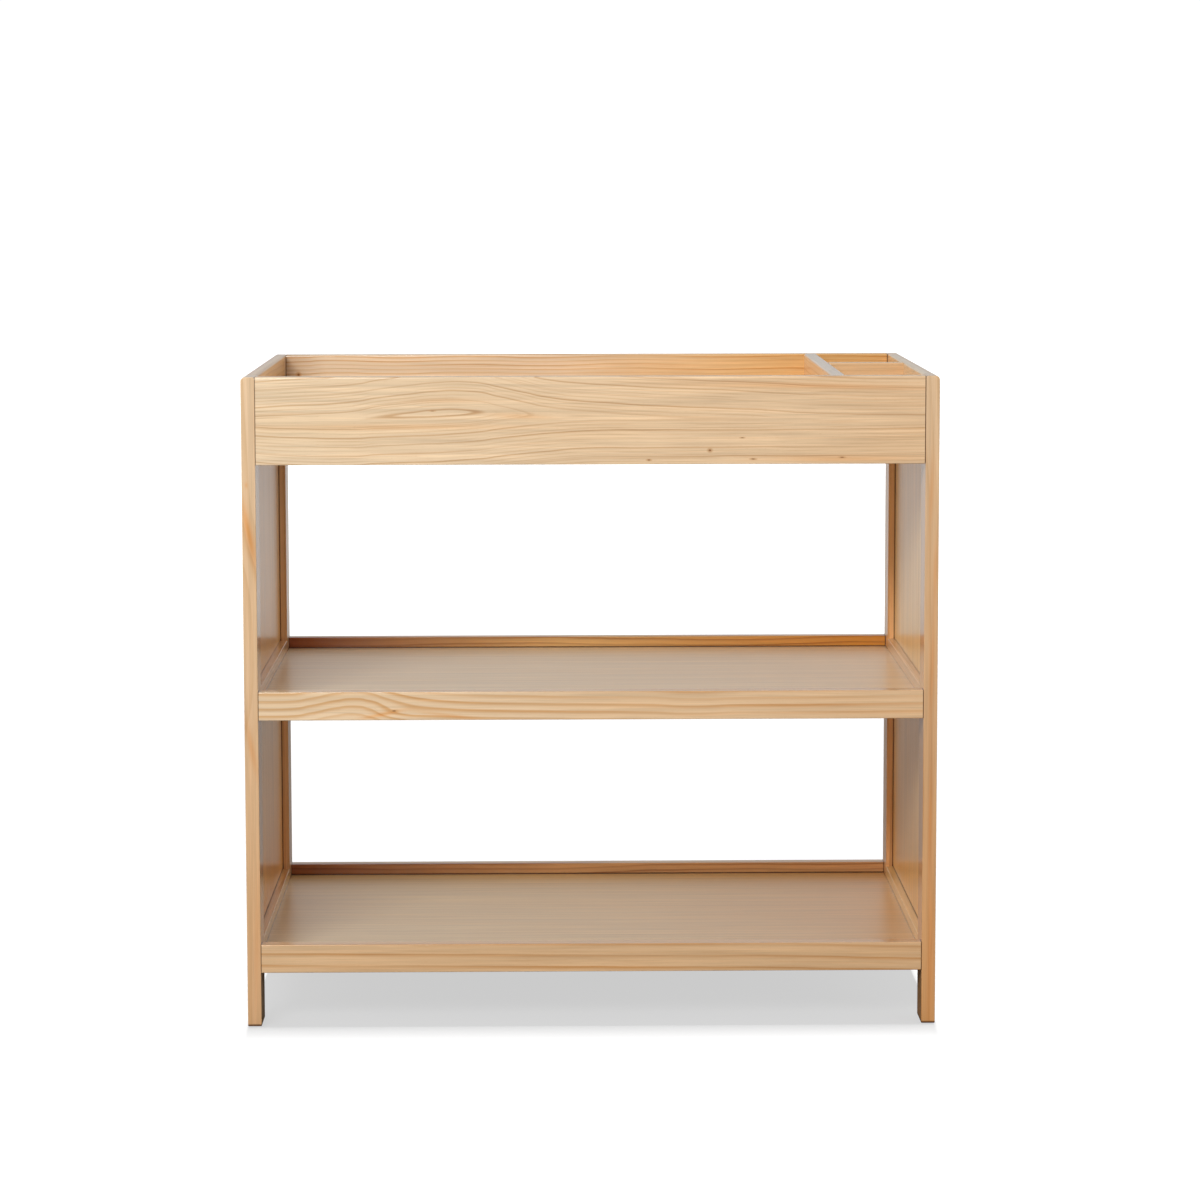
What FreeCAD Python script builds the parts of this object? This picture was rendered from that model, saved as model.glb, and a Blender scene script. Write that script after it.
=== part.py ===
import FreeCAD, Part
import os

# Changing table: two glued side frames, joined by a tray with two dividers on
# top and by two open shelves below. The origin is on the floor, in the middle
# of the footprint. +X runs along the width, +Y towards the back, +Z up.

# Overall
WIDTH = 950.0
DEPTH = 540.0
HEIGHT = 900.0
BOARD = 19.0                  # thickness of every solid board, leg and rail

# Side frames
LEG_DEPTH = 50.0              # front-to-back size of a leg
GLIDE_HEIGHT = 2.0            # the legs stand this far off the floor
PANEL_THICK = 5.0
PANEL_RECESS = 10.5           # from the inner face of the frame to the panel
PANEL_GROOVE = 8.0

# Heights
TRAY_WALL = 120.0             # height of the boards round the tray
TRAY_DEPTH = 100.0            # from the rim down to the tray bottom
TRAY_BOTTOM_THICK = 10.0
MIDDLE_RAIL_TOP = 468.0
BOTTOM_RAIL_TOP = 116.0
RAIL_HEIGHT = 39.0
SHELF_DROP = 16.0             # from the top of the rails to the shelf
SHELF_THICK = 12.0
SHELF_GROOVE = 5.0
GROOVE_PLAY = 1.0             # end play of a panel in its groove

# Tray dividers
DIVIDER_CENTRE_X = 339.0
CROSS_CENTRE_Y = 30.5

# Edges
RIM_RADIUS = 3.0              # top edges round the tray and on the dividers
SHOULDER_RADIUS = 6.0         # outer top edge of each side frame
EDGE_RADIUS = 1.0             # all other long edges

# Connector bolts (M6, flat head with hexagon socket) and barrel nuts
BOLT_D = 6.0
BOLT_HOLE_D = 7.0
BOLT_LENGTH = 60.0
HEAD_D = 12.0
HEAD_THICK = 2.5
HEAD_SINK = 3.0               # depth of the counterbore in the leg
HEAD_CLEARANCE = 0.5
SOCKET_ACROSS_FLATS = 4.0
SOCKET_DEPTH = 3.0
NUT_D = 10.0
NUT_LENGTH = 14.0
NUT_INSET = 35.0              # from the end of the board to the nut
TRAY_BOLT_HEIGHTS = (822.0, 878.0)
RAIL_BOLT_SETBACK = 8.5       # from the outer face of a shelf rail

# Wood dowels
DOWEL_D = 8.0
DOWEL_LENGTH = 40.0

# Foot glides
GLIDE_D = 16.0
PIN_D = 3.0
PIN_LENGTH = 14.0

HALF_W = WIDTH / 2
HALF_D = DEPTH / 2
INNER_X = HALF_W - BOARD      # inner face of a side frame
INNER_Y = HALF_D - BOARD      # inner face of a front or rear board
LEG_INNER_Y = HALF_D - LEG_DEPTH
TRAY_UNDER = HEIGHT - TRAY_WALL
TRAY_FLOOR = HEIGHT - TRAY_DEPTH
PANEL_IN_X = INNER_X + PANEL_RECESS
RAIL_TOPS = {"middle": MIDDLE_RAIL_TOP, "bottom": BOTTOM_RAIL_TOP}
SIDES = {"left": -1, "right": 1}
ENDS = {"front": -1, "rear": 1}

X_AXIS = FreeCAD.Vector(1, 0, 0)
Y_AXIS = FreeCAD.Vector(0, 1, 0)
Z_AXIS = FreeCAD.Vector(0, 0, 1)


def block(x0, x1, y0, y1, z0, z1):
    """A box between two corners, given in either order."""
    xs, ys, zs = sorted((x0, x1)), sorted((y0, y1)), sorted((z0, z1))
    corner = FreeCAD.Vector(xs[0], ys[0], zs[0])
    return Part.makeBox(xs[1] - xs[0], ys[1] - ys[0], zs[1] - zs[0], corner)


def rod(diameter, length, start, direction):
    """A cylinder from start along direction."""
    return Part.makeCylinder(diameter / 2, length, start, direction)


def edges_at(shape, x=None, y=None, z=None):
    """The edges whose ends all lie at the coordinates given."""
    found = []
    for edge in shape.Edges:
        ends = [v.Point for v in edge.Vertexes]
        on_x = x is None or all(abs(p.x - x) < 1e-4 for p in ends)
        on_y = y is None or all(abs(p.y - y) < 1e-4 for p in ends)
        on_z = z is None or all(abs(p.z - z) < 1e-4 for p in ends)
        if on_x and on_y and on_z:
            found.append(edge)
    return found


def rounded(shape, radius, *places):
    """Round the edges of shape at each place, a dict of coordinates."""
    chosen = []
    for place in places:
        chosen += edges_at(shape, **place)
    return shape.makeFillet(radius, chosen)


def bolt_places():
    """Each bolt as (side, y, z): two in a tray board's end, one in a rail's."""
    places = []
    for side in SIDES.values():
        for end in ENDS.values():
            for height in TRAY_BOLT_HEIGHTS:
                places.append((side, end * (HALF_D - BOARD / 2), height))
            for top in RAIL_TOPS.values():
                y = end * (HALF_D - RAIL_BOLT_SETBACK)
                places.append((side, y, top - RAIL_HEIGHT / 2))
    return places


def bolt_hole(side, y, z):
    """Clearance hole and counterbore, from the outer face of a side frame."""
    seat = FreeCAD.Vector(side * (HALF_W - HEAD_SINK), y, z)
    inward = X_AXIS * -side
    hole = rod(BOLT_HOLE_D, BOLT_LENGTH + 2, seat, inward)
    sink = rod(HEAD_D + HEAD_CLEARANCE, HEAD_SINK, seat, X_AXIS * side)
    return hole.fuse(sink)


def bolt(side, y, z):
    seat = FreeCAD.Vector(side * (HALF_W - HEAD_SINK), y, z)
    shank = rod(BOLT_D, BOLT_LENGTH, seat, X_AXIS * -side)
    head = rod(HEAD_D, HEAD_THICK, seat, X_AXIS * side)
    rim = FreeCAD.Vector(side * (HALF_W - HEAD_SINK + HEAD_THICK), y, z)
    rim_edges = [e for e in head.Edges if abs(e.CenterOfMass.x - rim.x) < 1e-4]
    head = head.makeFillet(0.6, rim_edges)
    across_corners = SOCKET_ACROSS_FLATS / 0.8660254
    corners = []
    for i in range(7):
        turn = FreeCAD.Rotation(X_AXIS, 60 * i)
        corners.append(rim + turn.multVec(Y_AXIS * (across_corners / 2)))
    hexagon = Part.Face(Part.makePolygon(corners))
    socket = hexagon.extrude(X_AXIS * (-side * SOCKET_DEPTH))
    return shank.fuse(head).cut(socket).removeSplitter()


def nut_centre(side, y, z):
    return FreeCAD.Vector(side * (INNER_X - NUT_INSET), y, z)


def is_tray_bolt(z):
    return z > TRAY_UNDER


def nut_axis(z):
    """The way the nut is put in.

    In the tray's boards from inside at the front and from behind at the
    rear, and in the shelf rails from below.
    """
    return Y_AXIS * -1 if is_tray_bolt(z) else Z_AXIS


def nut(side, y, z):
    centre = nut_centre(side, y, z)
    way_in = nut_axis(z)
    body = rod(NUT_D, NUT_LENGTH, centre - way_in * (NUT_LENGTH / 2), way_in)
    thread = rod(BOLT_D, NUT_D * 2, centre - X_AXIS * NUT_D, X_AXIS)
    mouth = centre - way_in * (NUT_LENGTH / 2)
    half_y, half_z = (1.0, 0.6) if is_tray_bolt(z) else (0.6, 1.0)
    slot = block(
        mouth.x - NUT_D, mouth.x + NUT_D,
        mouth.y - half_y, mouth.y + half_y,
        mouth.z - half_z, mouth.z + half_z,
    )
    return body.cut(thread).cut(slot)


def nut_hole(side, y, z):
    centre = nut_centre(side, y, z)
    way_in = nut_axis(z)
    reach = 60.0
    start = centre + way_in * (NUT_LENGTH / 2)
    return rod(NUT_D, reach, start, way_in * -1)


def frame_dowels():
    """Dowels between the rails of the side frames and the legs."""
    heights = [TRAY_UNDER + 20, TRAY_UNDER + 60, TRAY_UNDER + 100]
    for top in RAIL_TOPS.values():
        middle = top - RAIL_HEIGHT / 2
        heights += [middle - 7, middle + 7]
    dowels = []
    for side in SIDES.values():
        for end in ENDS.values():
            for height in heights:
                y = end * LEG_INNER_Y - DOWEL_LENGTH / 2
                start = FreeCAD.Vector(side * (HALF_W - BOARD / 2), y, height)
                dowels.append(rod(DOWEL_D, DOWEL_LENGTH, start, Y_AXIS))
    return dowels


def divider_dowels():
    """Dowels at the ends of the two tray dividers, half in each piece."""
    dowels = []
    for height in (TRAY_FLOOR + 25, TRAY_FLOOR + 75):
        for end in ENDS.values():
            y = end * INNER_Y
            start = FreeCAD.Vector(DIVIDER_CENTRE_X, y - end * 26, height)
            dowels.append(rod(DOWEL_D, DOWEL_LENGTH, start, Y_AXIS * end))
        start = FreeCAD.Vector(INNER_X - 26, CROSS_CENTRE_Y, height)
        dowels.append(rod(DOWEL_D, DOWEL_LENGTH, start, X_AXIS))
        x = DIVIDER_CENTRE_X + BOARD / 2 + 26
        start = FreeCAD.Vector(x, CROSS_CENTRE_Y, height)
        dowels.append(rod(DOWEL_D, DOWEL_LENGTH, start, X_AXIS * -1))
    return dowels


DOWELS = frame_dowels() + divider_dowels()
BOLTS = bolt_places()


def drilled(shape):
    """Cut every bolt hole, nut hole and dowel hole that reaches shape."""
    tools = [bolt_hole(*place) for place in BOLTS]
    tools += [nut_hole(*place) for place in BOLTS]
    tools += DOWELS
    for tool in tools:
        if tool.common(shape).Volume > 1e-3:
            shape = shape.cut(tool)
    return shape


def upper_bay():
    """Bottom and top of the opening that holds an upper side panel."""
    return MIDDLE_RAIL_TOP, TRAY_UNDER


def lower_bay():
    return BOTTOM_RAIL_TOP, MIDDLE_RAIL_TOP - RAIL_HEIGHT


def panel_block(side, bay, inset):
    """A side panel, or with inset 0 the space of its groove."""
    low, high = bay
    reach = PANEL_GROOVE - inset
    return block(
        side * PANEL_IN_X, side * (PANEL_IN_X + PANEL_THICK),
        -LEG_INNER_Y - reach, LEG_INNER_Y + reach,
        low - reach, high + reach,
    )


def leg(side, end):
    outer, inner = side * HALF_W, side * INNER_X
    face, back = end * HALF_D, end * LEG_INNER_Y
    shape = block(outer, inner, face, back, GLIDE_HEIGHT, HEIGHT)
    shape = rounded(shape, SHOULDER_RADIUS, dict(x=outer, z=HEIGHT))
    shape = rounded(shape, RIM_RADIUS, dict(x=inner, z=HEIGHT))
    shape = rounded(
        shape, EDGE_RADIUS,
        dict(y=face),
        dict(x=outer, z=GLIDE_HEIGHT),
        dict(x=inner, z=GLIDE_HEIGHT),
        dict(y=back, z=GLIDE_HEIGHT),
    )
    for bay in (upper_bay(), lower_bay()):
        shape = shape.cut(panel_block(side, bay, 0))
    centre = FreeCAD.Vector(
        side * (HALF_W - BOARD / 2), end * (HALF_D - LEG_DEPTH / 2), 0)
    shape = shape.cut(rod(PIN_D, GLIDE_HEIGHT + PIN_LENGTH, centre, Z_AXIS))
    return drilled(shape)


def side_rail(side, low, high, outer_radius, inner_radius):
    outer, inner = side * HALF_W, side * INNER_X
    shape = block(outer, inner, -LEG_INNER_Y, LEG_INNER_Y, low, high)
    shape = rounded(shape, outer_radius, dict(x=outer, z=high))
    shape = rounded(shape, inner_radius, dict(x=inner, z=high))
    shape = rounded(
        shape, EDGE_RADIUS, dict(x=outer, z=low), dict(x=inner, z=low))
    for bay in (upper_bay(), lower_bay()):
        shape = shape.cut(panel_block(side, bay, 0))
    return shape


def cross_board(end, low, high, top_radius):
    """A front or rear board between the legs."""
    face, inner = end * HALF_D, end * INNER_Y
    shape = block(-INNER_X, INNER_X, face, inner, low, high)
    shape = rounded(
        shape, top_radius, dict(y=face, z=high), dict(y=inner, z=high))
    return rounded(
        shape, EDGE_RADIUS, dict(y=face, z=low), dict(y=inner, z=low))


def inlay_panel(top, thick, inset):
    """A horizontal panel in grooves, notched round the four legs.

    With inset 0 it is the space of the grooves.
    """
    reach = SHELF_GROOVE - inset
    panel = block(
        -INNER_X - reach, INNER_X + reach,
        -INNER_Y - reach, INNER_Y + reach,
        top - thick, top,
    )
    gap = inset / 2
    for side in SIDES.values():
        for end in ENDS.values():
            panel = panel.cut(block(
                side * (INNER_X - gap), side * HALF_W,
                end * (LEG_INNER_Y - gap), end * HALF_D,
                top - thick, top,
            ))
    return panel


def foot_glide(side, end):
    x = side * (HALF_W - BOARD / 2)
    y = end * (HALF_D - LEG_DEPTH / 2)
    foot = FreeCAD.Vector(x, y, 0)
    disc = rod(GLIDE_D, GLIDE_HEIGHT, foot, Z_AXIS)
    low = [e for e in disc.Edges if abs(e.CenterOfMass.z) < 1e-4]
    disc = disc.makeFillet(0.8, low)
    pin = rod(PIN_D, PIN_LENGTH, foot + Z_AXIS * GLIDE_HEIGHT, Z_AXIS)
    return disc.fuse(pin).removeSplitter()


nodes = {}

# Side frames
TRAY_SPACE = inlay_panel(TRAY_FLOOR, TRAY_BOTTOM_THICK, 0)
SHELF_SPACES = {
    name: inlay_panel(top - SHELF_DROP, SHELF_THICK, 0)
    for name, top in RAIL_TOPS.items()
}
for side_name, side in SIDES.items():
    for end_name, end in ENDS.items():
        nodes[f"{side_name}_{end_name}_leg"] = leg(side, end)
    top_rail = side_rail(
        side, TRAY_UNDER, HEIGHT, SHOULDER_RADIUS, RIM_RADIUS)
    nodes[f"{side_name}_top_rail"] = drilled(top_rail.cut(TRAY_SPACE))
    for name, top in RAIL_TOPS.items():
        rail = side_rail(
            side, top - RAIL_HEIGHT, top, EDGE_RADIUS, EDGE_RADIUS)
        nodes[f"{side_name}_{name}_rail"] = drilled(rail.cut(SHELF_SPACES[name]))
    nodes[f"{side_name}_upper_panel"] = panel_block(side, upper_bay(), GROOVE_PLAY)
    nodes[f"{side_name}_lower_panel"] = panel_block(side, lower_bay(), GROOVE_PLAY)

# Tray
for end_name, end in ENDS.items():
    board = cross_board(end, TRAY_UNDER, HEIGHT, RIM_RADIUS)
    nodes[f"tray_{end_name}_board"] = drilled(board.cut(TRAY_SPACE))
nodes["tray_bottom"] = inlay_panel(TRAY_FLOOR, TRAY_BOTTOM_THICK, GROOVE_PLAY)

divider_x0 = DIVIDER_CENTRE_X - BOARD / 2
divider_x1 = DIVIDER_CENTRE_X + BOARD / 2
divider = block(divider_x0, divider_x1, -INNER_Y, INNER_Y, TRAY_FLOOR, HEIGHT)
divider = rounded(
    divider, RIM_RADIUS, dict(x=divider_x0, z=HEIGHT), dict(x=divider_x1, z=HEIGHT))
nodes["tray_divider"] = drilled(divider)

cross_y0 = CROSS_CENTRE_Y - BOARD / 2
cross_y1 = CROSS_CENTRE_Y + BOARD / 2
cross = block(divider_x1, INNER_X, cross_y0, cross_y1, TRAY_FLOOR, HEIGHT)
cross = rounded(
    cross, RIM_RADIUS, dict(y=cross_y0, z=HEIGHT), dict(y=cross_y1, z=HEIGHT))
nodes["tray_cross_divider"] = drilled(cross)

# Shelves
for name, top in RAIL_TOPS.items():
    for end_name, end in ENDS.items():
        rail = cross_board(end, top - RAIL_HEIGHT, top, EDGE_RADIUS)
        rail = rail.cut(SHELF_SPACES[name])
        nodes[f"{name}_shelf_{end_name}_rail"] = drilled(rail)
    nodes[f"{name}_shelf_panel"] = inlay_panel(
        top - SHELF_DROP, SHELF_THICK, GROOVE_PLAY)

# Fastenings and glides
nodes["connector_bolts"] = Part.makeCompound([bolt(*place) for place in BOLTS])
nodes["barrel_nuts"] = Part.makeCompound([nut(*place) for place in BOLTS])
nodes["wood_dowels"] = Part.makeCompound(DOWELS)
nodes["foot_glides"] = Part.makeCompound(
    [foot_glide(side, end) for side in SIDES.values() for end in ENDS.values()])

os.makedirs("parts", exist_ok=True)
for name, shape in nodes.items():
    shape.exportStep(f"parts/{name}.step")
    box = shape.BoundBox
    print(f"{name:28s} valid={shape.isValid()} solids={len(shape.Solids)} "
          f"{box.XLength:.1f} x {box.YLength:.1f} x {box.ZLength:.1f}")
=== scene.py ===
import math

import bpy
from mathutils import Matrix, Vector


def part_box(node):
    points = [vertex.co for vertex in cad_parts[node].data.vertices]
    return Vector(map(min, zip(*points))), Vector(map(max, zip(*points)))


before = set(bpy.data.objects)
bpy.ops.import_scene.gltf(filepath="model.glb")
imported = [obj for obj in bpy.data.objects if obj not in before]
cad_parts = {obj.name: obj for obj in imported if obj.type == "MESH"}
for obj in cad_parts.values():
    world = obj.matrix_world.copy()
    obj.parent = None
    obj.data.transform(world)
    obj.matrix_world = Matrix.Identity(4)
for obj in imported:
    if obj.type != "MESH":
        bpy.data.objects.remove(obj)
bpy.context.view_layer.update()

AXES = {"X": 0, "Y": 1, "Z": 2}

# --------------------------------------------------------------- node helpers


class Tree:
    """Short calls for building a node tree."""

    def __init__(self, name=None, tree=None):
        if tree is None:
            self.mat = bpy.data.materials.new(name)
            self.mat.use_nodes = True
            tree = self.mat.node_tree
            tree.nodes.clear()
        self.tree = tree

    def add(self, kind, **settings):
        node = self.tree.nodes.new(kind)
        for key, value in settings.items():
            setattr(node, key, value)
        return node

    def feed(self, socket, value):
        """Link an output to a socket, or set the socket's own value."""
        if isinstance(value, bpy.types.NodeSocket):
            self.tree.links.new(value, socket)
        elif value is not None:
            socket.default_value = value

    def math(self, operation, a, b=None, c=None):
        node = self.add("ShaderNodeMath", operation=operation)
        for socket, value in zip(node.inputs, (a, b, c)):
            self.feed(socket, value)
        return node.outputs[0]

    def squares(self, u, v):
        """u * u + v * v."""
        return self.math(
            "ADD", self.math("MULTIPLY", u, u), self.math("MULTIPLY", v, v))

    def bell(self, u, v):
        """1 where u and v are 0, falling smoothly to 0 at about 2."""
        return self.math(
            "EXPONENT", self.math("MULTIPLY", self.squares(u, v), -1.0))

    def combine(self, x, y, z):
        node = self.add("ShaderNodeCombineXYZ")
        for socket, value in zip(node.inputs, (x, y, z)):
            self.feed(socket, value)
        return node.outputs[0]

    def separate(self, vector):
        node = self.add("ShaderNodeSeparateXYZ")
        self.feed(node.inputs[0], vector)
        return node.outputs

    def places(self):
        """The point's X, Y and Z in the frame, in metres."""
        return self.separate(self.add("ShaderNodeTexCoord").outputs["Object"])

    def noise(self, vector, detail=2.0, roughness=0.5):
        node = self.add("ShaderNodeTexNoise", noise_dimensions="3D")
        self.feed(node.inputs["Vector"], vector)
        self.feed(node.inputs["Scale"], 1.0)
        self.feed(node.inputs["Detail"], detail)
        self.feed(node.inputs["Roughness"], roughness)
        return node.outputs["Fac"]

    def even_noise(self, raw, per_metre, shift=0.0, detail=2.0):
        """Noise with the same size in every direction."""
        return self.noise(self.combine(*(
            self.math("MULTIPLY_ADD", raw[i], per_metre, shift) for i in range(3))),
            detail=detail)

    def spread(self, value, low, high, out_low=0.0, out_high=1.0, smooth=True):
        node = self.add("ShaderNodeMapRange", clamp=True)
        node.interpolation_type = "SMOOTHSTEP" if smooth else "LINEAR"
        for socket, v in zip(node.inputs, (value, low, high, out_low, out_high)):
            self.feed(socket, v)
        return node.outputs[0]

    def curve(self, value, points):
        """A smooth curve through points, (x, y) in millimetres."""
        xs = [x for x, _ in points]
        ys = [y for _, y in points]
        wide, tall = xs[-1] - xs[0], max(ys) - min(ys)
        node = self.add("ShaderNodeFloatCurve")
        knees = node.mapping.curves[0].points
        scaled = [((x - xs[0]) / wide, (y - min(ys)) / tall) for x, y in points]
        knees[0].location = scaled[0]
        knees[1].location = scaled[-1]
        for place in scaled[1:-1]:
            knees.new(*place)
        node.mapping.update()
        self.feed(node.inputs["Value"], self.spread(
            value, xs[0] / 1000, xs[-1] / 1000, smooth=False))
        return self.math(
            "MULTIPLY_ADD", node.outputs[0], tall / 1000, min(ys) / 1000)

    def blend(self, factor, a, b, mode="MIX"):
        node = self.add("ShaderNodeMix", data_type="RGBA", blend_type=mode)
        self.feed(node.inputs["Factor"], factor)
        self.feed(node.inputs["A"], rgba(a))
        self.feed(node.inputs["B"], rgba(b))
        return node.outputs["Result"]

    def stained(self, factor, base, colour):
        """Base, multiplied by a colour as far as factor says."""
        return self.blend(factor, base, self.blend(1.0, base, colour, "MULTIPLY"))

    def surface(self, base, rough, height, strength, distance, **values):
        """The shader and its bump. Values go to the sockets of their name."""
        bump = self.add("ShaderNodeBump")
        bump.inputs["Strength"].default_value = strength
        bump.inputs["Distance"].default_value = distance
        self.feed(bump.inputs["Height"], height)
        shader = self.add("ShaderNodeBsdfPrincipled")
        self.feed(shader.inputs["Base Color"], base)
        self.feed(shader.inputs["Roughness"], rough)
        self.feed(shader.inputs["Normal"], bump.outputs[0])
        for socket_name, value in values.items():
            self.feed(shader.inputs[socket_name.replace("_", " ")], value)
        self.output(shader)
        return self.mat

    def output(self, shader):
        out = self.add("ShaderNodeOutputMaterial")
        self.feed(out.inputs["Surface"], shader.outputs[0])


def rgba(colour):
    if isinstance(colour, tuple) and len(colour) == 3:
        return (*colour, 1.0)
    return colour


# ----------------------------------------------------------------------- wood

EARLY = (0.760, 0.565, 0.350)     # pale wood between the ring lines
LATE = (0.560, 0.320, 0.125)      # the dense, orange part of a ring
PANEL = (0.84, 0.64, 0.42)        # the paler wood of rails and panels
KNOT = (0.230, 0.090, 0.030)
GAP_SHADOW = (0.090, 0.032, 0.009)       # painted shadow in the narrow gaps where two boards meet

# Tints that the wood is multiplied by.
PLAIN = (1.0, 1.0, 1.0)
OUTSIDE = (0.88, 0.71, 0.60)      # the outer faces of the side frames
CLOUD = (1.0, 0.90, 0.76)
WARM = (1.0, 0.66, 0.38)
STAIN = (0.96, 0.66, 0.36)
# painted light falloff: darker, warmer wood towards the right on the front boards and
# rails, and towards the floor on the front legs
LIGHT_FALLOFF_TAN = (0.87, 0.58, 0.33)
GOLD = (1.0, 0.74, 0.36)
HONEY = (1.00, 0.86, 0.50)
AMBER = (0.88, 0.68, 0.30)
TOFFEE = (0.86, 0.56, 0.12)
DUSK = (0.40, 0.26, 0.16)         # where the side frame keeps the light off
# painted shadow of the left side frame across the rear rails
SIDE_FRAME_SHADOW = (0.36, 0.12, 0.02)

# Waves per metre along the grain, across the board and into it.
SLOW_WAVES = (2.2, 9.0, 9.0)
QUICK_WAVES = (9.0, 42.0, 42.0)
FIBRE_WAVES = (14.0, 900.0, 900.0)
STRAND_WAVES = (3.0, 120.0, 120.0)
CLOUD_WAVES = (3.5, 22.0, 22.0)
CANAL_WAVES = (120.0, 2200.0, 2200.0)

RINGS_INTO_BOARD = 0.7            # rings gained per ring width of depth
RIDGE_TOP = 0.003                 # rounds off the loops of a figure, in metres
CLOUD_WEIGHT = 0.24
CANAL_WEIGHT = 0.35
VARNISH = 0.9
ROUGH_LOW, ROUGH_HIGH = 0.36, 0.46


class Board(Tree):
    """A board's material, with places along, across and into the board."""

    def __init__(self, name, node, grain, width):
        super().__init__(name)
        self.low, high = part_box(node)
        self.centre = [(a + b) / 2 for a, b in zip(self.low, high)]
        i_grain, i_width = AXES[grain], AXES[width]
        self.i_thick = 3 - i_grain - i_width
        self.raw = self.places()
        self.along, self.across, self.deep = (
            self.math("SUBTRACT", self.raw[i], self.centre[i])
            for i in (i_grain, i_width, self.i_thick))

    def waves(self, per_metre, shifts, detail=2.0, roughness=0.5):
        """Noise that is drawn out along the grain."""
        places = zip((self.along, self.across, self.deep), per_metre, shifts)
        return self.noise(self.combine(*(
            self.math("MULTIPLY_ADD", place, scale, shift)
            for place, scale, shift in places)), detail, roughness)

    def ellipse(self, along, across, length, height, slope=0.0):
        """Distances from a mark's middle, as shares of its two sizes."""
        du = self.math("SUBTRACT", self.along, along)
        dv = self.math("SUBTRACT", self.across, across)
        if slope:
            dv = self.math("MULTIPLY_ADD", du, -slope, dv)
        return self.math("DIVIDE", du, length), self.math("DIVIDE", dv, height)

    def rings_of_figure(self, figure, spacing):
        """Ring lines that run beside a centre curve or loop round a ridge."""
        off = self.math("SUBTRACT", self.across, self.curve(self.along, figure["centre"]))
        if "peak" in figure:
            off = self.math("SQRT", self.math(
                "MULTIPLY_ADD", off, off, RIDGE_TOP * RIDGE_TOP))
            top = self.math("MULTIPLY", self.curve(self.along, figure["peak"]), 1000.0)
            rings = self.math("SUBTRACT", top, self.math(
                "DIVIDE", self.math("SUBTRACT", off, RIDGE_TOP), spacing))
        else:
            rings = self.math("DIVIDE", off, spacing)
        behind_face = self.math("SUBTRACT", self.raw[self.i_thick], self.low[self.i_thick])
        return self.math(
            "MULTIPLY_ADD", behind_face, RINGS_INTO_BOARD / spacing, rings)

    def rings_round(self, pith, spacing):
        """Ring lines cut through cylinders round a pith line."""
        v = self.math("SUBTRACT", self.across, pith[0])
        u = self.math("SUBTRACT", self.deep, pith[1])
        return self.math(
            "DIVIDE", self.math("SQRT", self.squares(v, u)), spacing)

    def ring_line(self, rings, line, edge, seed):
        """One ring: pale, darkening slowly to the dense line, then a sharp end."""
        phase = self.math("FRACT", rings)
        rise = self.spread(phase, *line)
        fall = self.spread(phase, edge, 1.0, 1.0, 0.0)
        dense = self.math("MULTIPLY", self.math("POWER", rise, 2.2), fall)
        mood = self.noise(self.combine(
            self.math("MULTIPLY_ADD", self.math("FLOOR", rings), 3.7, seed),
            self.math("MULTIPLY", self.along, 2.5), seed * 0.7), detail=1.0)
        return self.math("MULTIPLY", dense, self.spread(mood, 0.30, 0.70, 0.25, 1.0))

    def echo_line(self, rings, quick, echo):
        """Fine lines between the ring lines, here and there."""
        phase = self.math("FRACT", self.math("MULTIPLY_ADD", rings, 2.6, 0.3))
        faint = self.math("MULTIPLY", self.spread(phase, 0.45, 0.9),
                          self.spread(phase, 0.9, 1.0, 1.0, 0.0))
        return self.math("MULTIPLY", faint, self.spread(quick, 0.35, 0.62, 0.0, echo))

    def wood_grain(self, base, streak, strand, seed, fibre):
        """Fibres and warmer clouds."""
        shade = self.math("MULTIPLY", self.spread(
            streak, 0.2, 0.8, 1.0 - fibre, 1.0 + fibre * 0.6, smooth=False), self.spread(
            strand, 0.25, 0.75, 1.0 - fibre, 1.0 + fibre * 0.5, smooth=False))
        cloud = self.waves(CLOUD_WAVES, (seed * 1.3, 0.0, 0.0), detail=1.0)
        base = self.stained(
            self.spread(cloud, 0.35, 0.75, 0.0, CLOUD_WEIGHT), base, CLOUD)
        return self.blend(
            1.0, base, self.combine(shade, shade, shade), "MULTIPLY")

    def marks(self, base, late, streaks, knots):
        """Orange stains and knots."""
        for *place, slope, weight in streaks:
            stain = self.bell(*self.ellipse(*place, slope))
            base = self.stained(self.math("MULTIPLY", stain, weight), base, STAIN)
        for place in knots:
            dist = self.math("SQRT", self.squares(*self.ellipse(*place)))
            base = self.blend(self.spread(dist, 0.7, 2.0, 0.75, 0.0), base, late)
            base = self.blend(self.spread(dist, 0.35, 0.8, 0.85, 0.0), base, KNOT)
        return base

    def shifted(self, base, tones, facing, outside):
        """Colour shifts from one end of the board to the other, most of them painted light
        and shade.
        """
        if facing:
            axis, direction, blur = facing
            at = AXES[axis]
            inner = self.spread(
                self.raw[at], self.centre[at] - blur, self.centre[at] + blur,
                0.5 - 0.5 * direction, 0.5 + 0.5 * direction)
            base = self.blend(
                inner, self.blend(1.0, base, outside, "MULTIPLY"), base)
        for axis, start, start_weight, end, end_weight, colour in tones:
            weight = self.spread(
                self.raw[AXES[axis]], start, end, start_weight, end_weight, smooth=False)
            if facing:
                weight = self.math("MULTIPLY", weight, inner)
            base = self.stained(weight, base, colour)
        return base

    def joint_shadow(self, weight, planes):
        """Strength of one painted shadow line at a joint, which lies where all its planes
        meet.
        """
        dark = weight
        for axis, at, reach in planes:
            gap = self.math(
                "ABSOLUTE", self.math("SUBTRACT", self.raw[AXES[axis]], at))
            near = self.spread(gap, reach * 0.4, reach, 1.0, 0.0)
            dark = self.math("MULTIPLY", near, dark)
        return dark


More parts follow.
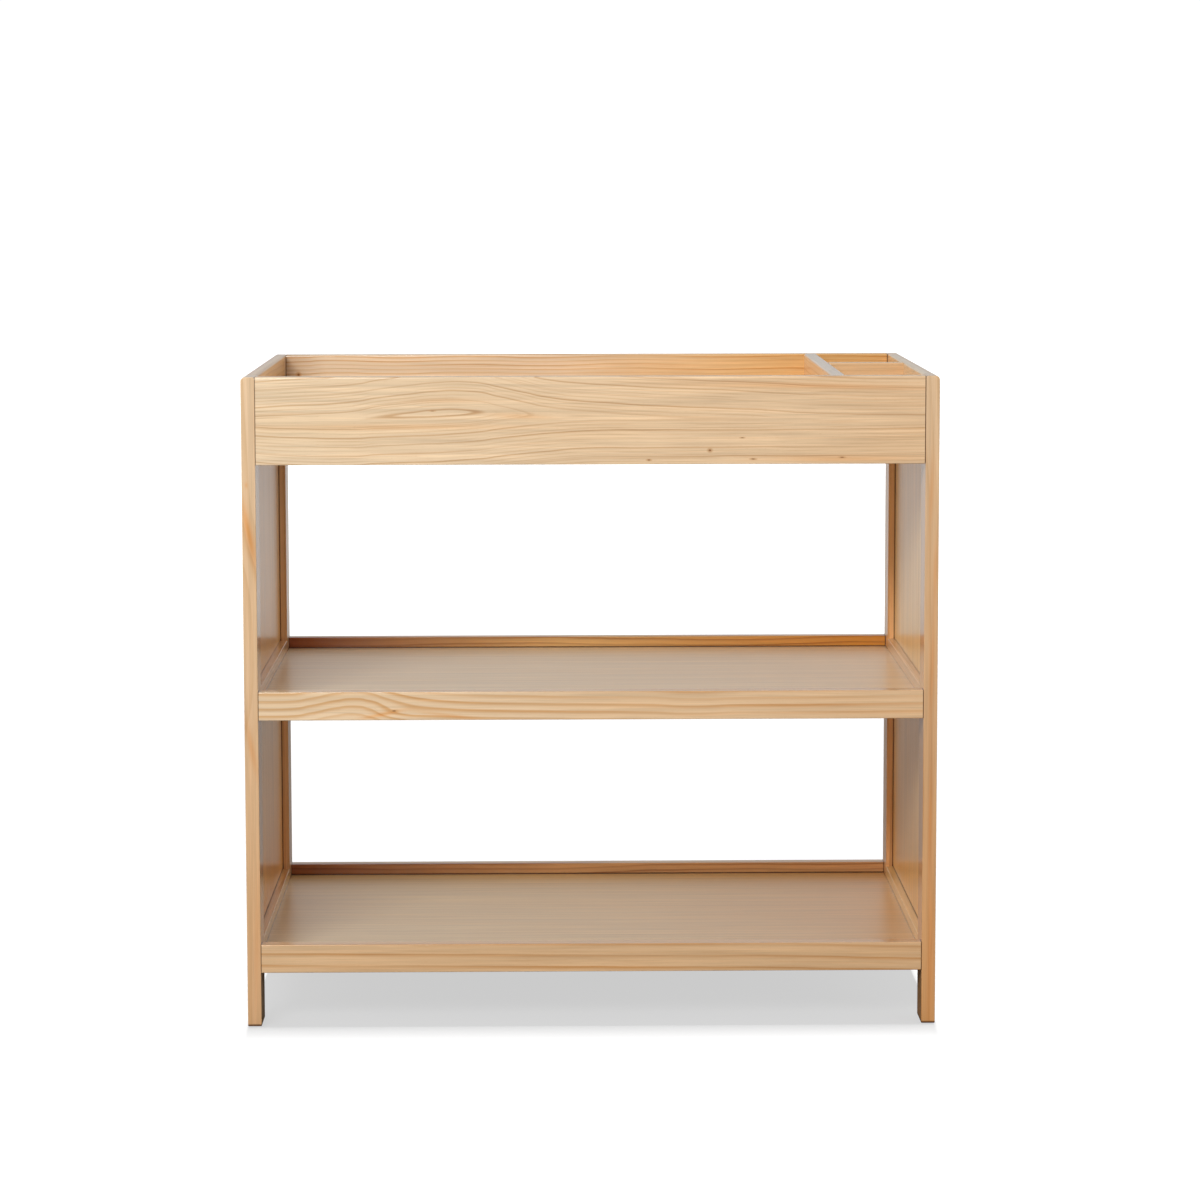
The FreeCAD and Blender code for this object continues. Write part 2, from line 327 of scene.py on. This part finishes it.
def wood(name, node, grain, width, *, seed, spacing=0.010, pith=(-0.30, 0.08),
         wander=0.5, ripple=None, figure=None, bumps=(), line=(0.30, 0.90),
         edge=0.93, contrast=0.55, echo=0.0, fibre=0.14, early=EARLY, late=LATE,
         streaks=(), knots=(), tones=(), facing=None, outside=OUTSIDE,
         joints=(), bare_joints=False, gloss=0.15):
    """Lacquered pine for one board.

    grain and width are the axes ("X", "Y", "Z") along the grain and across
    the board's broad face; other lengths are in metres from its middle.
    spacing: width of a ring. pith: (across, deep), the line the rings go round.
    figure replaces that with lines that follow a centre curve, or with a
    ridge of loops round it when a peak curve is given as well.
    wander and ripple: long and short waves in the lines.
    bumps: (along, across, length, height, rings), bulges of the rings, as
    beside a branch. line, edge: where in a ring the dense part is reached
    and where it ends. echo: strength of the fine lines between the rings.
    streaks: (along, across, length, height, slope, weight), orange stains.
    knots: (along, across, length, height).
    tones: (axis, start, weight, end, weight, colour), shifts of colour, with
    start and end in the frame; most are painted light and shade, for how the light falls
    across
    the object. facing: (axis, direction, blur), the side of the board that tones are kept
    to.
    outside: tint of its other side.
    joints: (weight, (axis, at, reach), ...), painted shadow lines at other boards, in
    the frame. bare_joints: the varnish stops on these painted shadow lines, so they stay
    dark.
    """
    b = Board(name, node, grain, width)
    slow = b.waves(SLOW_WAVES, (seed, seed * 1.7, 3.1), 1.5, 0.45)
    quick = b.waves(QUICK_WAVES, (seed * 2.3, 5.3, seed), 2.0, 0.55)
    if figure:
        rings = b.rings_of_figure(figure, spacing)
    else:
        rings = b.rings_round(pith, spacing)
    if ripple is None:
        ripple = wander * 0.9
    rings = b.math("MULTIPLY_ADD", b.math("SUBTRACT", slow, 0.5), wander * 6.0, rings)
    rings = b.math("MULTIPLY_ADD", b.math("SUBTRACT", quick, 0.5), ripple, rings)
    for *place, extra_rings in bumps:
        rings = b.math(
            "MULTIPLY_ADD", b.bell(*b.ellipse(*place)), extra_rings, rings)

    dense = b.math("MULTIPLY", b.ring_line(rings, line, edge, seed), contrast)
    if echo:
        dense = b.math("MAXIMUM", dense, b.echo_line(rings, quick, echo))
    streak = b.waves(FIBRE_WAVES, (seed, 0.0, 0.0), 2.0, 0.6)
    strand = b.waves(STRAND_WAVES, (seed * 3.1, 0.0, 0.0), 2.0, 0.5)
    base = b.wood_grain(b.blend(dense, early, late), streak, strand, seed, fibre)
    canal = b.waves(CANAL_WAVES, (seed, 0.0, 0.0), detail=0.0)
    base = b.blend(b.spread(canal, 0.74, 0.82, 0.0, CANAL_WEIGHT), base, late)
    base = b.marks(base, late, streaks, knots)
    base = b.shifted(base, tones, facing, outside)

    varnish = VARNISH
    # Painted shadow lines at the joints; with bare_joints the varnish is taken off them
    # too, so no reflection greys them.
    for weight, *planes in joints:
        dark = b.joint_shadow(weight, planes)
        base = b.blend(dark, base, GAP_SHADOW)
        if bare_joints:
            varnish = b.math("MULTIPLY", b.math("SUBTRACT", 1.0, dark), varnish)
    height = b.math("ADD", b.math("MULTIPLY", streak, 0.5), b.math("MULTIPLY", dense, -0.6))
    return b.surface(
        base, b.spread(strand, 0.2, 0.8, ROUGH_LOW, ROUGH_HIGH, smooth=False), height,
        strength=0.10, distance=0.0004, IOR=1.45, Specular_IOR_Level=0.2,
        Coat_Weight=varnish, Coat_Roughness=gloss, Coat_IOR=1.5)


def metal(name, colour, roughness, seed):
    """Zinc-plated steel with a faint mottle and a fine bumpy texture."""
    t = Tree(name)
    raw = t.places()
    mottle = t.even_noise(raw, 260.0, seed, detail=3.0)
    base = t.blend(t.spread(mottle, 0.3, 0.7), colour, tuple(c * 0.78 for c in colour))
    rough = t.spread(mottle, 0.2, 0.8, roughness - 0.06, roughness + 0.10)
    return t.surface(base, rough, t.even_noise(raw, 2600.0),
                     strength=0.15, distance=0.0001, Metallic=1.0)


def plastic(name, colour):
    """Moulded plastic with a fine texture."""
    t = Tree(name)
    grit = t.even_noise(t.places(), 900.0, detail=3.0)
    base = t.blend(t.spread(grit, 0.3, 0.7), colour, tuple(c * 1.5 for c in colour))
    return t.surface(base, t.spread(grit, 0.2, 0.8, 0.45, 0.65), grit,
                     strength=0.25, distance=0.0002)


# ------------------------------------------------------------- boards by name

LEFT, RIGHT = -0.45, 0.45         # near the ends of the long boards
FLOOR_END, RIM_END = 0.0, 0.90    # lower and upper end of the legs

INNER_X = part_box("right_front_leg")[0][0]
INNER_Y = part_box("tray_rear_board")[0][1]
LEG_FACE_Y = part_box("left_rear_leg")[0][1]
LEG_FOOT_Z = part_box("left_front_leg")[0][2]
PANEL_FACE_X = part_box("right_upper_panel")[0][0]
RAIL_TOP = {level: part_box(f"{level}_shelf_front_rail")[1][2]
            for level in ("middle", "bottom")}
SHELF_TOP = {level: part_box(f"{level}_shelf_panel")[1][2]
             for level in ("middle", "bottom")}

# Painted shadow lines where boards meet: the shade in the narrow gaps at the legs, at the
# ledges of the side frames and round the shelves, and the contact shadow at the foot of the
# front legs.
END_SHADOW_LINES = ((0.80, ("X", -INNER_X, 0.0012)), (0.98, ("X", INNER_X, 0.0014)))
FOOT_CONTACT_SHADOW = ((0.9, ("Z", LEG_FOOT_Z, 0.0040)),)
LEDGE_SHADOW_LINES = {
    "middle": ((0.5, ("Z", RAIL_TOP["middle"], 0.0030)),),
    "bottom": ((0.9, ("Z", RAIL_TOP["bottom"], 0.0035)),)}
SHELF_SHADOW_LINES = (
    (0.9, ("Y", INNER_Y, 0.0050)), (0.5, ("X", -INNER_X, 0.0012)),
    (0.5, ("X", INNER_X, 0.0012)), (0.5, ("Y", -INNER_Y, 0.003)))


def lip_shadow_lines(level):
    """Painted shadow lines where a rear rail meets the shelf and the legs."""
    return END_SHADOW_LINES + (
        (0.9, ("Z", SHELF_TOP[level], 0.0018), ("Y", INNER_Y, 0.002)),)


def stile_shadow_lines(side):
    """Painted shadow line at the groove of a side panel in the front edge of a rear leg."""
    groove_x = side * (PANEL_FACE_X - 0.0003)
    return ((0.9, ("X", groove_x, 0.0016), ("Y", LEG_FACE_Y, 0.004)),)


# What boards of one kind have in common.
REAR_RAIL = dict(
    grain="X", width="Z", spacing=0.0085, contrast=0.85, facing=("Y", -1, 0.005),
    outside=PLAIN)
# Painted light falloff on the legs: their tones turn darker and warmer towards the floor.
FRONT_LEG = dict(grain="Z", width="X", early=(0.80, 0.595, 0.385), joints=FOOT_CONTACT_SHADOW)
REAR_LEG = dict(
    grain="Z", width="X", spacing=0.0090,
    tones=(("Z", RIM_END, 0.30, FLOOR_END, 0.60, WARM),))
SIDE_RAIL = dict(grain="Y", width="Z", spacing=0.0085, pith=(-0.15, 0.05))
UPPER_PANEL = dict(
    grain="Z", width="Y", spacing=0.0110, pith=(-0.5, 0.10), gloss=0.26,
    joints=LEDGE_SHADOW_LINES["middle"], bare_joints=True)
LOWER_PANEL = dict(UPPER_PANEL, pith=(-0.6, 0.10), joints=LEDGE_SHADOW_LINES["bottom"])
FLAT_PANEL = dict(grain="X", width="Y", spacing=0.0060, pith=(-0.9, 0.10))
SHELF_PANEL = dict(FLAT_PANEL, contrast=0.45, gloss=0.30, joints=SHELF_SHADOW_LINES)

BOARDS = {
    # Painted light falloff on the front boards and front rails: darker and warmer towards
    # the right, away from the key light.
    "tray_front_board": dict(
        grain="X", width="Z", spacing=0.0120, seed=1.0, wander=0.05,
        early=(0.86, 0.655, 0.43), late=(0.58, 0.34, 0.16), contrast=0.85,
        line=(0.66, 0.93), joints=END_SHADOW_LINES, echo=0.36, ripple=0.30, fibre=0.17,
        figure=dict(
            centre=((-475, 0), (-400, -1), (-333, 0.5), (-293, 4.5), (-246, 8),
                    (-208, 10.5), (-163, 12), (-128, 11), (-90, 9), (-57, 7),
                    (4, 6), (80, 3.5), (212, 1), (354, -2), (475, -1.5)),
            peak=((-475, 2.1), (-399, 2.5), (-333, 2.7), (-290, 2.9), (-246, 3.05),
                  (-208, 3.15), (-163, 3.02), (-128, 2.6), (-90, 2.1), (-57, 1.7),
                  (4, 1.3), (80, 1.1), (212, 0.85), (354, 0.55), (475, 0.45))),
        knots=((0.162, -0.041, 0.0028, 0.0022), (0.079, -0.054, 0.003, 0.0012),
               (0.221, -0.053, 0.004, 0.0010), (0.342, -0.051, 0.004, 0.0010),
               (-0.215, 0.0135, 0.004, 0.0006), (0.206, -0.024, 0.003, 0.0007)),
        streaks=((-0.095, 0.006, 0.045, 0.004, -0.05, 0.35),
                 (-0.27, -0.008, 0.16, 0.0035, 0.0, 0.35),
                 (-0.20, 0.028, 0.06, 0.004, 0.0, 0.25),
                 (0.34, -0.053, 0.10, 0.004, 0.0, 0.45),
                 (0.30, 0.046, 0.20, 0.004, -0.02, 0.4)),
        tones=(("X", LEFT, 0.0, RIGHT, 0.32, LIGHT_FALLOFF_TAN),)),
    "tray_rear_board": dict(
        grain="X", width="Z", spacing=0.0062, seed=12.0, wander=0.16,
        early=(0.83, 0.65, 0.46), late=(0.62, 0.33, 0.12), contrast=1.0,
        line=(0.25, 0.92), joints=END_SHADOW_LINES, echo=0.35, ripple=0.5,
        figure=dict(
            centre=((-475, 0), (-420, 1), (-380, 3), (-300, 1), (-180, 3), (-60, 0),
                    (60, 2), (200, -1), (330, 1), (475, 0))),
        knots=((-0.437, 0.030, 0.003, 0.003),),
        tones=(("X", LEFT, 0.0, RIGHT, 0.45, WARM),
               ("X", -0.05, 0.0, 0.35, 0.9, HONEY),
               ("X", -INNER_X, 0.5, -0.395, 0.0, DUSK))),
    "middle_shelf_front_rail": dict(
        grain="X", width="Z", spacing=0.0102, seed=23.0, wander=0.06,
        early=(0.85, 0.65, 0.43), late=(0.68, 0.38, 0.15), contrast=0.95,
        line=(0.05, 0.80), edge=0.80, joints=END_SHADOW_LINES, echo=0.12, ripple=0.15,
        figure=dict(
            centre=((-475, -1), (-420, -1), (-387, 3), (-345, 11), (-325, 13),
                    (-308, 11), (-281, 3), (-258, -3), (-230, -8), (-190, -12),
                    (-150, -14), (-60, -16), (0, -16.5), (80, -17.5), (142, -20),
                    (200, -18.5), (300, -18), (475, -17))),
        bumps=((-0.262, -0.010, 0.040, 0.010, 0.6),),
        knots=((-0.270, -0.0065, 0.0045, 0.0014),),
        streaks=((-0.285, -0.011, 0.028, 0.0028, 0.20, 0.8),
                 (-0.195, -0.013, 0.040, 0.0025, -0.13, 0.5)),
        tones=(("X", LEFT, 0.08, RIGHT, 0.42, LIGHT_FALLOFF_TAN),)),
    "bottom_shelf_front_rail": dict(
        grain="X", width="Z", spacing=0.0165, seed=34.0, wander=0.05,
        early=(0.79, 0.595, 0.38), late=(0.60, 0.33, 0.12), contrast=1.0,
        line=(0.45, 0.92), joints=END_SHADOW_LINES, echo=0.20, ripple=0.15,
        figure=dict(
            centre=((-475, 9), (-222, 7), (4, 4.7), (240, 3.3), (330, 1.5),
                    (475, -1.5))),
        tones=(("X", LEFT, 0.40, RIGHT, 0.52, LIGHT_FALLOFF_TAN),)),
    # Painted shade on the rear rails' inner faces: warmer and darker, as deep in the shaded
    # bays, and the painted shadow of the left side frame across their left ends.
    "middle_shelf_rear_rail": dict(
        REAR_RAIL, pith=(-0.20, -0.04), seed=45.0, joints=lip_shadow_lines("middle"),
        early=(0.86, 0.62, 0.34), late=(0.45, 0.22, 0.09),
        tones=(("Y", INNER_Y, 0.70, 0.266, 0.25, GOLD),
               ("X", -0.46, 1.0, -0.03, 0.0, SIDE_FRAME_SHADOW),
               ("X", 0.0, 0.0, 0.40, 0.85, TOFFEE))),
    "bottom_shelf_rear_rail": dict(
        REAR_RAIL, pith=(-0.15, -0.05), seed=56.0, joints=lip_shadow_lines("bottom"),
        early=(0.80, 0.58, 0.33), late=(0.44, 0.22, 0.09),
        tones=(("Y", INNER_Y, 0.70, 0.266, 0.25, WARM),
               ("X", -0.46, 0.90, -0.05, 0.1, SIDE_FRAME_SHADOW))),
    "left_front_leg": dict(
        FRONT_LEG, spacing=0.0150, seed=67.0, wander=0.10,
        late=(0.66, 0.43, 0.22), line=(0.10, 0.90),
        figure=dict(
            centre=((-475, -4), (-200, 2), (-60, 6), (60, 20), (234, -4),
                    (300, -14), (475, -20))),
        streaks=((0.234, 0.0, 0.044, 0.0050, -0.190, 1.0),
                 (-0.060, 0.0, 0.038, 0.0042, -0.190, 0.55),
                 (0.302, -0.003, 0.004, 0.0020, 0.0, 0.5),
                 (-0.33, 0.004, 0.10, 0.004, 0.02, 0.35)),
        tones=(("Z", RIM_END, 0.15, FLOOR_END, 0.60, LIGHT_FALLOFF_TAN),)),
    "right_front_leg": dict(
        FRONT_LEG, spacing=0.0110, seed=78.0, wander=0.16,
        late=(0.64, 0.40, 0.19), contrast=0.75, line=(0.15, 0.90),
        figure=dict(
            centre=((-475, 3), (-300, 1), (-100, 3), (60, 0), (234, -2),
                    (350, -9), (475, -16))),
        streaks=((0.29, -0.001, 0.050, 0.0030, 0.02, 0.55),
                 (0.18, 0.005, 0.045, 0.0028, 0.02, 0.5),
                 (0.05, 0.002, 0.070, 0.0032, 0.02, 0.6),
                 (-0.16, 0.001, 0.090, 0.0030, 0.01, 0.6),
                 (-0.34, 0.003, 0.110, 0.0040, 0.01, 0.5)),
        tones=(("Z", RIM_END, 0.25, FLOOR_END, 0.99, LIGHT_FALLOFF_TAN),)),
    "left_rear_leg": dict(
        REAR_LEG, pith=(-0.12, 0.05), seed=89.0, joints=stile_shadow_lines(-1)),
    # Painted light: the right rear leg is paler and warmer than the left one, which lies in
    # the left side frame's shade.
    "right_rear_leg": dict(
        REAR_LEG, pith=(0.12, 0.05), seed=90.5, joints=stile_shadow_lines(1),
        early=(0.93, 0.66, 0.37)),
    "left_top_rail": dict(
        SIDE_RAIL, spacing=0.0090, pith=(-0.20, 0.05), seed=101.0, early=PANEL,
        tones=(("X", -0.470, 0.0, -0.457, 0.2, WARM),
               ("X", -0.470, 0.0, -0.457, 0.9, AMBER))),
    "right_top_rail": dict(
        SIDE_RAIL, spacing=0.0090, pith=(-0.22, 0.05), seed=112.0,
        early=(0.86, 0.70, 0.46), tones=(("X", 0.470, 0.05, 0.457, 0.20, WARM),)),
    "left_middle_rail": dict(
        SIDE_RAIL, seed=123.0, early=PANEL,
        tones=(("Z", 0.47, 0.35, 0.43, 0.45, WARM),)),
    "right_middle_rail": dict(
        SIDE_RAIL, seed=134.0, early=PANEL,
        tones=(("Z", 0.47, 0.30, 0.43, 0.40, WARM),)),
    "left_bottom_rail": dict(
        SIDE_RAIL, seed=145.0, early=(0.86, 0.68, 0.36),
        tones=(("Z", 0.12, 0.55, 0.08, 0.6, WARM),)),
    "right_bottom_rail": dict(
        SIDE_RAIL, seed=156.0, early=(0.90, 0.72, 0.36),
        tones=(("Z", 0.12, 0.55, 0.08, 0.6, WARM),)),
    # The side panels are partly painted light: each one's base colour is set paler or
    # darker for the light it gets, and their tones shift mostly darker and warmer lower in
    # the bays, as painted shade.
    "left_upper_panel": dict(
        UPPER_PANEL, seed=167.0, contrast=0.45, early=(0.88, 0.68, 0.43),
        tones=(("Z", 0.78, 0.15, 0.43, 0.40, WARM), ("Z", 0.70, 0.0, 0.48, 0.9, HONEY))),
    "left_lower_panel": dict(
        LOWER_PANEL, seed=178.0, contrast=0.45, early=(1.0, 0.81, 0.52),
        tones=(("Z", 0.43, 0.10, 0.10, 0.75, WARM), ("Z", 0.38, 0.0, 0.14, 0.9, AMBER))),
    "right_upper_panel": dict(
        UPPER_PANEL, seed=189.0, contrast=0.60, early=(0.99, 0.79, 0.46),
        tones=(("Z", 0.78, 0.25, 0.43, 0.12, WARM), ("Z", 0.70, 0.3, 0.48, 0.4, HONEY))),
    "right_lower_panel": dict(
        LOWER_PANEL, seed=200.0, contrast=0.60, early=(1.0, 0.78, 0.46),
        tones=(("Z", 0.43, 0.15, 0.10, 0.35, WARM), ("Z", 0.38, 0.1, 0.14, 0.8, AMBER))),
    "middle_shelf_panel": dict(
        SHELF_PANEL, seed=211.0, early=(0.90, 0.77, 0.55),
        tones=(("X", LEFT, 0.05, RIGHT, 0.25, WARM),)),
    # Painted shade on the bottom shelf: darker and warmer towards the back, under the
    # middle shelf.
    "bottom_shelf_panel": dict(
        SHELF_PANEL, seed=222.0, early=(0.77, 0.635, 0.41),
        tones=(("X", LEFT, 0.05, RIGHT, 0.50, WARM),
               ("Y", -0.10, 0.0, 0.25, 0.6, HONEY),
               ("X", 0.10, 0.0, RIGHT, 0.25, AMBER))),
    "tray_bottom": dict(FLAT_PANEL, seed=233.0, contrast=0.30, early=PANEL),
    # Painted light: the divider's sides are warmer than its top, which is left pale where
    # it catches the light from the backdrop.
    "tray_divider": dict(
        SIDE_RAIL, pith=(-0.20, 0.05), seed=244.0, early=(0.80, 0.64, 0.49),
        tones=(("Z", 0.897, 0.0, 0.880, 0.65, WARM),)),
    "tray_cross_divider": dict(
        grain="X", width="Z", spacing=0.0085, pith=(-0.20, 0.05), seed=255.0,
        early=(0.84, 0.625, 0.38), tones=(("X", 0.30, 0.30, RIGHT, 0.45, WARM),)),
    "wood_dowels": dict(
        grain="Y", width="Z", spacing=0.0030, pith=(-0.30, 0.05), seed=266.0,
        contrast=0.3, early=(0.66, 0.46, 0.28), late=(0.50, 0.31, 0.16)),
}

MATERIALS = {
    "connector_bolts": metal("zinc_bolts", (0.62, 0.60, 0.56), 0.32, 1.0),
    "barrel_nuts": metal("zinc_nuts", (0.58, 0.57, 0.54), 0.38, 7.0),
    "foot_glides": plastic("glide_plastic", (0.045, 0.035, 0.028)),
}
for node_name, spec in BOARDS.items():
    if node_name.endswith(("panel", "rail")) and node_name.startswith(("left", "right")):
        inwards = 1 if node_name.startswith("left") else -1
        spec["facing"] = ("X", inwards, 0.001)
    MATERIALS[node_name] = wood(f"pine_{node_name}", node_name, **spec)
for node_name, material in MATERIALS.items():
    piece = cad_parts[node_name]
    piece.data.materials.clear()
    piece.data.materials.append(material)

# ---------------------------------------------------------------------- stage

FLOOR_SIZE = 60.0
FLOOR_SEEN = 0.12        # what the camera sees of the floor
FLOOR_BOUNCE = 0.055     # what the floor throws back at the object
FLOOR_LIFT = 0.59        # brings the floor to white for the camera
SWEEP = 0.36             # far behind the object the floor is as light as the backdrop
SWEEP_START, SWEEP_END = 1.8, 4.5


def floor_material():
    """Pale matt floor. Only part of the light on it is thrown back."""
    t = Tree("pale_floor")
    raw = t.places()
    seen = t.add("ShaderNodeLightPath").outputs["Is Camera Ray"]
    mottle = t.spread(t.even_noise(raw, 3.0), 0.0, 1.0, 0.98, 1.0, smooth=False)
    share = t.spread(seen, 0.0, 1.0, FLOOR_BOUNCE, FLOOR_SEEN, smooth=False)
    tone = t.math("MULTIPLY", mottle, share)
    diffuse = t.add("ShaderNodeBsdfDiffuse")
    t.feed(diffuse.inputs["Color"], t.combine(tone, tone, tone))
    glow = t.add("ShaderNodeEmission")
    sweep = t.spread(raw[1], SWEEP_START, SWEEP_END, 0.0, SWEEP)
    t.feed(glow.inputs["Strength"], t.math(
        "ADD", sweep, t.math("MULTIPLY", seen, FLOOR_LIFT)))
    both = t.add("ShaderNodeAddShader")
    t.feed(both.inputs[0], diffuse.outputs[0])
    t.feed(both.inputs[1], glow.outputs[0])
    t.output(both)
    return t.mat


bpy.ops.mesh.primitive_plane_add(size=FLOOR_SIZE, location=(0.0, 0.0, 0.0))
floor = bpy.context.object
floor.name = "floor"
floor.data.materials.append(floor_material())

# Brightness of the surroundings: towards -Y, towards +Y, overhead, and what
# the camera sees past the floor.
FRONT, BACK, ABOVE, BACKDROP = 0.36, 0.55, 0.42, 1.05
SIDEWAYS = (-0.10, 0.35)          # Y of a direction, from the front to the back
UPWARDS = (0.35, 0.95)            # Z of a direction, from the side to overhead
world = bpy.data.worlds.new("studio")
bpy.context.scene.world = world
world.use_nodes = True
world.node_tree.nodes.clear()
w = Tree(tree=world.node_tree)
direction = w.separate(w.add("ShaderNodeTexCoord").outputs["Generated"])
behind = w.spread(direction[1], *SIDEWAYS, FRONT, BACK)
overhead = w.spread(direction[2], *UPWARDS)
level = w.math("MULTIPLY_ADD", overhead, w.math("SUBTRACT", ABOVE, behind), behind)
rays = w.add("ShaderNodeLightPath").outputs["Is Camera Ray"]
level = w.math("ADD", w.math("MULTIPLY", rays, w.math("SUBTRACT", BACKDROP, level)), level)
sky = w.add("ShaderNodeBackground")
sky.inputs["Color"].default_value = (1.0, 1.0, 1.0, 1.0)
w.feed(sky.inputs["Strength"], level)
w.feed(w.add("ShaderNodeOutputWorld").inputs["Surface"], sky.outputs[0])


def area_light(name, place, target, width, height, power):
    data = bpy.data.lights.new(name, "AREA")
    data.shape = "RECTANGLE"
    data.size = width
    data.size_y = height
    data.energy = power
    lamp = bpy.data.objects.new(name, data)
    bpy.context.scene.collection.objects.link(lamp)
    lamp.location = place
    aim = Vector(target) - Vector(place)
    lamp.rotation_euler = aim.to_track_quat("-Z", "Y").to_euler()
    return lamp


area_light("key", (-1.5, -3.6, 2.7), (0.0, 0.0, 0.55), 2.2, 1.2, 128.0)
area_light("fill", (2.6, -2.4, 1.1), (-0.3, 0.0, 0.5), 1.4, 1.4, 12.0)
area_light("low_fill", (-2.6, -2.4, 0.9), (0.3, 0.0, 0.4), 1.4, 1.4, 8.0)
for side in (-1, 1):
    area_light("side", (side * 3.6, 0.1, 1.35), (0.0, 0.1, 0.6), 3.0, 2.4, 26.0)

# The floor has a light of its own from very far above and a little behind. It
# is narrow across and long front to back, so it leaves one shadow under the
# whole object, crisp at the sides and soft in front.
WASH_PLACE = (0.0, 21.0, 600.0)
WASH_WIDTH, WASH_LENGTH, WASH_POWER = 6.0, 66.0, 12400000.0
wash = area_light(
    "floor_wash", WASH_PLACE, (0.0, 0.0, 0.0), WASH_WIDTH, WASH_LENGTH, WASH_POWER)
only_floor = bpy.data.collections.new("only_floor")
only_floor.objects.link(floor)
wash.light_linking.receiver_collection = only_floor

# --------------------------------------------------------------------- camera

CAMERA_PLACE = Vector((-0.04676, -4.69092, 1.18711))
YAW, PITCH, ROLL = 0.01338, -0.09656, -0.00156
SENSOR, LENS, FRAME_SHIFT = 36.0, 97.918, -0.1

camera_data = bpy.data.cameras.new("camera")
camera = bpy.data.objects.new("camera", camera_data)
bpy.context.scene.collection.objects.link(camera)
camera_data.sensor_width = SENSOR
camera_data.lens = LENS
camera_data.shift_y = FRAME_SHIFT
ahead = Vector((
    math.sin(YAW) * math.cos(PITCH), math.cos(YAW) * math.cos(PITCH), math.sin(PITCH)))
right = Vector((math.cos(YAW), -math.sin(YAW), 0.0))
up = right.cross(ahead)
right, up = (
    right * math.cos(ROLL) + up * math.sin(ROLL),
    up * math.cos(ROLL) - right * math.sin(ROLL))
camera.matrix_world = Matrix((
    (right.x, up.x, -ahead.x, CAMERA_PLACE.x),
    (right.y, up.y, -ahead.y, CAMERA_PLACE.y),
    (right.z, up.z, -ahead.z, CAMERA_PLACE.z),
    (0.0, 0.0, 0.0, 1.0)))
bpy.context.scene.camera = camera
bpy.context.scene.view_settings.view_transform = "Standard"
